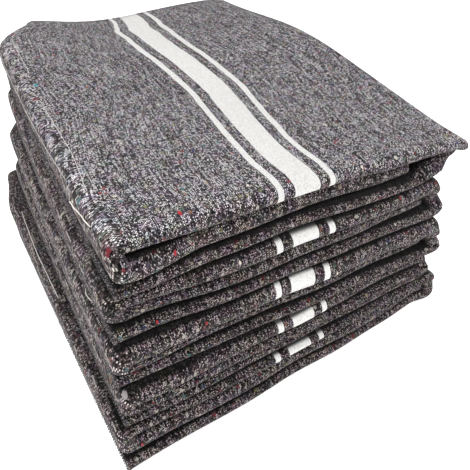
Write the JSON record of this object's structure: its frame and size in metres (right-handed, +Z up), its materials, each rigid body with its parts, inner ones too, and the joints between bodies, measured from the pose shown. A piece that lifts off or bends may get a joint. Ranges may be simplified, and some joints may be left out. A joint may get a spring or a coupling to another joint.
{
  "type": "stack of folded moving blankets",
  "caption": "Stack of coarse grey woven moving blankets, each folded in thirds both ways, with a triple white stripe along the middle of each cloth.",
  "frame": {"origin": "on the floor under the middle of the stack", "axes": "+Z up, -Y towards the rolled front creases, +X towards the wide wrap of each blanket"},
  "size_m": [0.5298, 0.6406, 0.3487],
  "materials": {
    "grey_weave": "coarse plain weave of recycled yarn, salt-and-pepper grey with coloured flecks, and a white triple stripe"
  },
  "bodies": {
    "root": {"blanket_1": "grey_weave", "blanket_2": "grey_weave", "blanket_3": "grey_weave", "blanket_4": "grey_weave", "blanket_5": "grey_weave"}
  },
  "joints": []
}
